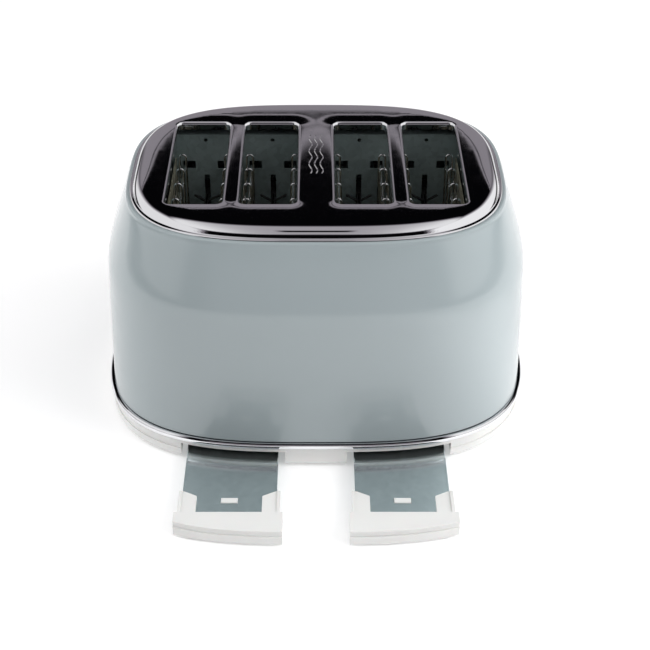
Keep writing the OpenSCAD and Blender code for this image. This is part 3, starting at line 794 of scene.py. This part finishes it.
def button(node):
    """A push button with a rolled edge, a shallow dish and a plain sign on it."""
    centre, low, high = middle(node)
    radius, face = (high.x - low.x) / 2, high.y
    back = BUTTON_BACK_Y
    profile = [
        (low.y, 1.9), (low.y + 0.3, 2.2), (back, 2.2), (back, radius - 0.3), (back + 0.3, radius),
        (face - 1.1, radius), (face - 0.5, radius - 0.2), (face - 0.12, radius - 0.7),
        (face, radius - 1.3), (face - 0.15, radius - 1.9), (face - 0.4, 1.5), (face - 0.45, 0.01),
    ]
    cap = add_mesh(node.replace("button", "push"), *lathe(profile, centre.x, centre.z))
    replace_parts(ride_new(cap, node, CHROME), node)
    kind = node.split("_")[1]
    y0, y1 = face - 0.6, face - 0.12
    if kind == "cancel":
        signs = [spoke(centre, y0, y1, -2.2, 2.2, 0.55, turn) for turn in (45, -45)]
    elif kind == "defrost":
        signs = [spoke(centre, y0, y1, -2.4, 2.4, 0.45, turn) for turn in (0, 60, 120)]
    else:
        signs = [spoke(centre, y0, y1, -2.2, 2.2, 0.5, 90)]
        signs += [spoke(centre, y0, y1, 0.9, 2.3, 0.5, turn) for turn in (0, 180)]
    sign = join(node.replace("button", "sign"), [add_mesh("bar", *bar) for bar in signs])
    ride_new(sign, node, RUBBER)


# ---- Springs ----

def return_spring(side):
    """A wound spring with an eye at each end, built at one length; the real one stretches as the
    carriage goes down.
    """
    centre, low, high = middle(f"return_spring_{side}")
    turns, steps_per_turn, wire, eye_r, end_gap = 30, 16, 0.42, 1.3, 3.2
    coil = (high.x - low.x) / 2 - wire
    bottom, top = low.z + end_gap, high.z - end_gap
    steps = turns * steps_per_turn
    points = []
    for k in range(steps + 1):
        a = TAU * k / steps_per_turn
        z = bottom + (top - bottom) * k / steps
        points.append((centre.x + coil * math.cos(a), centre.y + coil * math.sin(a), z))
    parts = [add_mesh("coil", *tube(points, wire, 7), 60)]
    for end_z, up in ((low.z, 1), (high.z, -1)):
        eye_z = end_z + up * (wire + eye_r + 0.1)
        eye = [
            (centre.x + eye_r * math.cos(a), centre.y, eye_z - up * eye_r * math.sin(a))
            for a in np.linspace(-2.6, 2.6, 19)
        ]
        parts.append(add_mesh("eye", *tube(eye, wire, 7), 60))
    spring = join(f"wound_spring_{side}", parts, 60)
    spring.data.materials.append(SPRING_STEEL)
    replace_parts(spring, f"return_spring_{side}")
    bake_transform(spring)


# ---- Build ----

dress_cad_nodes()
body_shell()
top_plate()
heat_marks()
trim_ring()
for toaster_side in SIDES:
    dial(toaster_side)
    dial_scale(toaster_side)
    return_spring(toaster_side)
for button_node in BUTTONS:
    button(button_node)


# ---- Floor and light, in metres ----

FLOOR_HALF = 6


def blend_nodes(tree, coords):
    """A tree's maths: calc for one operation, ease for a soft step, and the coordinates."""

    def calc(operation, a, b=0.0):
        node = tree.nodes.new("ShaderNodeMath")
        node.operation = operation
        for socket, value in zip(node.inputs, (a, b)):
            if isinstance(value, (int, float)):
                socket.default_value = value
            else:
                tree.links.new(value, socket)
        return node.outputs["Value"]

    def ease(value, low, high):
        node = tree.nodes.new("ShaderNodeMapRange")
        node.interpolation_type = "SMOOTHSTEP"
        node.inputs["From Min"].default_value = low
        node.inputs["From Max"].default_value = high
        tree.links.new(value, node.inputs["Value"])
        return node.outputs["Result"]

    split = tree.nodes.new("ShaderNodeSeparateXYZ")
    tree.links.new(coords, split.inputs["Vector"])
    return calc, ease, split.outputs


def floor():
    """A white sweep whose light fades to the room's grey well outside the picture."""
    mesh = bpy.data.meshes.new("floor")
    corners = [(x * FLOOR_HALF, y * FLOOR_HALF, 0) for x, y in ((-1, -1), (1, -1), (1, 1), (-1, 1))]
    mesh.from_pydata(corners, [], [(0, 1, 2, 3)])
    obj = bpy.data.objects.new("floor", mesh)
    bpy.context.scene.collection.objects.link(obj)
    m = Nodes("floor_white")
    calc, ease, (x, y, _) = blend_nodes(m.tree, m.coords)
    out = calc("SQRT", calc("ADD", calc("MULTIPLY", x, x), calc("MULTIPLY", y, y)))
    near = calc("SUBTRACT", 1.0, ease(out, 1.0, 2.8))
    m.feed("Base Color", m.ramp(near, [(0.0, (0.50, 0.50, 0.50)), (1.0, (0.82, 0.82, 0.82))]))
    # a painted pool of light: the floor glows brightest at the right front, in front of the stronger
    # lamp, where its light would fall
    painted_light_pool = calc("MULTIPLY", ease(x, 0.12, 0.30), calc("SUBTRACT", 1.0, ease(y, -0.16, 0.06)))
    painted_light_pool = calc("MULTIPLY", painted_light_pool, calc("SUBTRACT", 1.0, ease(out, 0.35, 0.75)))
    glow = calc("ADD", calc("MULTIPLY", near, 0.06), calc("MULTIPLY", painted_light_pool, 0.9))
    m.feed("Emission Strength", calc("ADD", glow, 0.18))
    m.set(Roughness=0.9, Specular_IOR_Level=0.0, Emission_Color=(1, 1, 1, 1))
    mesh.materials.append(m.material)


def lamp(name, place, size, radiance):
    """A soft lamp that aims at the toaster and leaves no reflection of its own."""
    data = bpy.data.lights.new(name, "AREA")
    data.shape = "RECTANGLE"
    data.size, data.size_y = size
    data.energy = radiance * math.pi * size[0] * size[1]
    obj = bpy.data.objects.new(name, data)
    obj.location = place
    obj.rotation_euler = (Vector((0, 0, 0.08)) - Vector(place)).to_track_quat("-Z", "Y").to_euler()
    obj.visible_glossy = False
    bpy.context.scene.collection.objects.link(obj)


def studio():
    """What the chrome mirrors: a grey wall, black above it, and softboxes overhead and at both sides."""
    lamp("fill", (0, -1.2, 2.0), (2.4, 2.0), 1.0)
    lamp("left_fill", (-1.55, 0.2, 0.9), (1.2, 1.2), 2.6)
    lamp("right_fill", (1.5, -0.45, 0.9), (1.6, 1.2), 3.6)
    world = bpy.data.worlds.new("room")
    bpy.context.scene.world = world
    world.use_nodes = True
    tree = world.node_tree
    coords = tree.nodes.new("ShaderNodeTexCoord").outputs["Generated"]
    calc, ease, (x, y, z) = blend_nodes(tree, coords)
    wide = calc("ABSOLUTE", x)
    wall = calc("MULTIPLY", calc("SUBTRACT", 1.0, ease(z, 0.434, 0.4435)), 0.27)
    wall = calc("MULTIPLY", wall, calc("SUBTRACT", 1.0, ease(wide, 0.34, 0.5)))
    # a dark fold across the wall
    fold = calc("SUBTRACT", 1.0, ease(calc("ABSOLUTE", calc("SUBTRACT", z, 0.4235)), 0.0022, 0.005))
    wall = calc("MULTIPLY", wall, calc("SUBTRACT", 1.0, calc("MULTIPLY", fold, 0.95)))
    # overhead softbox: from about 55 degrees up at the back to past the zenith, dimmer in its middle
    past_zenith = calc("SUBTRACT", calc("DIVIDE", calc("MULTIPLY", y, -1.0), z), wide)
    behind_zenith = calc("SUBTRACT", 1.0, ease(past_zenith, 0.42, 0.85))
    over = calc("MULTIPLY", ease(z, 0.775, 0.86), behind_zenith)
    over = calc("MULTIPLY", over, calc("ADD", calc("MULTIPLY", ease(wide, 0.02, 0.42), 0.5), 0.40))
    # a small dark flag in the overhead softbox
    flag_x = calc("SUBTRACT", 1.0, ease(wide, 0.035, 0.06))
    flag_y = calc("SUBTRACT", 1.0, ease(calc("ABSOLUTE", calc("ADD", y, 0.01)), 0.10, 0.16))
    over = calc("MULTIPLY", over, calc("SUBTRACT", 1.0, calc("MULTIPLY", flag_x, flag_y)))
    # side softboxes, the right one brighter
    side = calc("MULTIPLY", ease(wide, 0.38, 0.56), ease(z, 0.05, 0.14))
    side = calc("MULTIPLY", side, ease(calc("DIVIDE", y, wide), -1.3, -0.8))
    side = calc("MULTIPLY", side, calc("ADD", calc("MULTIPLY", calc("SIGN", x), 0.08), 0.97))
    light = calc("MAXIMUM", calc("MAXIMUM", wall, over), side)
    ramp = tree.nodes.new("ShaderNodeValToRGB")
    ramp.color_ramp.elements[0].color = (0.0015, 0.0015, 0.002, 1)
    grey = ramp.color_ramp.elements.new(0.27)
    grey.color = (0.27, 0.25, 0.275, 1)
    tree.links.new(light, ramp.inputs["Fac"])
    tree.links.new(ramp.outputs["Color"], tree.nodes["Background"].inputs["Color"])


floor()
studio()
bpy.context.scene.view_settings.view_transform = "Standard"
